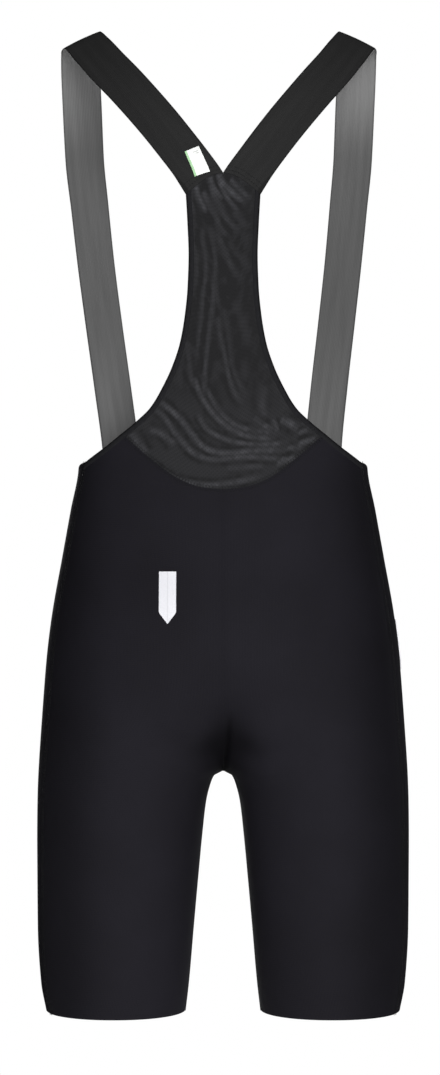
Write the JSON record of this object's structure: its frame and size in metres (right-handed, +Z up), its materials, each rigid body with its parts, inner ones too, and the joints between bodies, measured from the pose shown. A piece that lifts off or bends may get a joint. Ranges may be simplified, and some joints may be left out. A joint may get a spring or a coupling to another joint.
{
  "type": "bib shorts",
  "caption": "Close-fitting thigh-length bib shorts in their hollow worn form, with flat shoulder straps that meet at the top of a tall mesh back panel.",
  "frame": {"origin": "midway between the two places where the wearer's shoulders carry the straps, at the straps' underside", "axes": "+Z up, +Y the way the wearer faces, so the back is at -Y, and the wearer's left is at -X"},
  "size_m": [0.3558, 0.2208, 0.9364],
  "materials": {
    "body_cloth": "matt stretch knit",
    "mesh_cloth": "open mesh knit",
    "strap_cloth": "flat elastic band",
    "binding": "narrow elastic",
    "reflective": "reflective transfer film",
    "label_cloth": "woven satin label"
  },
  "bodies": {
    "root": {"back_panel": "body_cloth", "side_panel_left": "body_cloth", "side_panel_right": "body_cloth", "front_panel_left": "body_cloth", "front_panel_right": "body_cloth", "mesh_panel": "mesh_cloth", "binding_left": "binding", "binding_right": "binding", "strap_left": "strap_cloth", "strap_right": "strap_cloth", "neck_label": "label_cloth", "tab_back": "reflective", "tab_side": "reflective"}
  },
  "joints": []
}
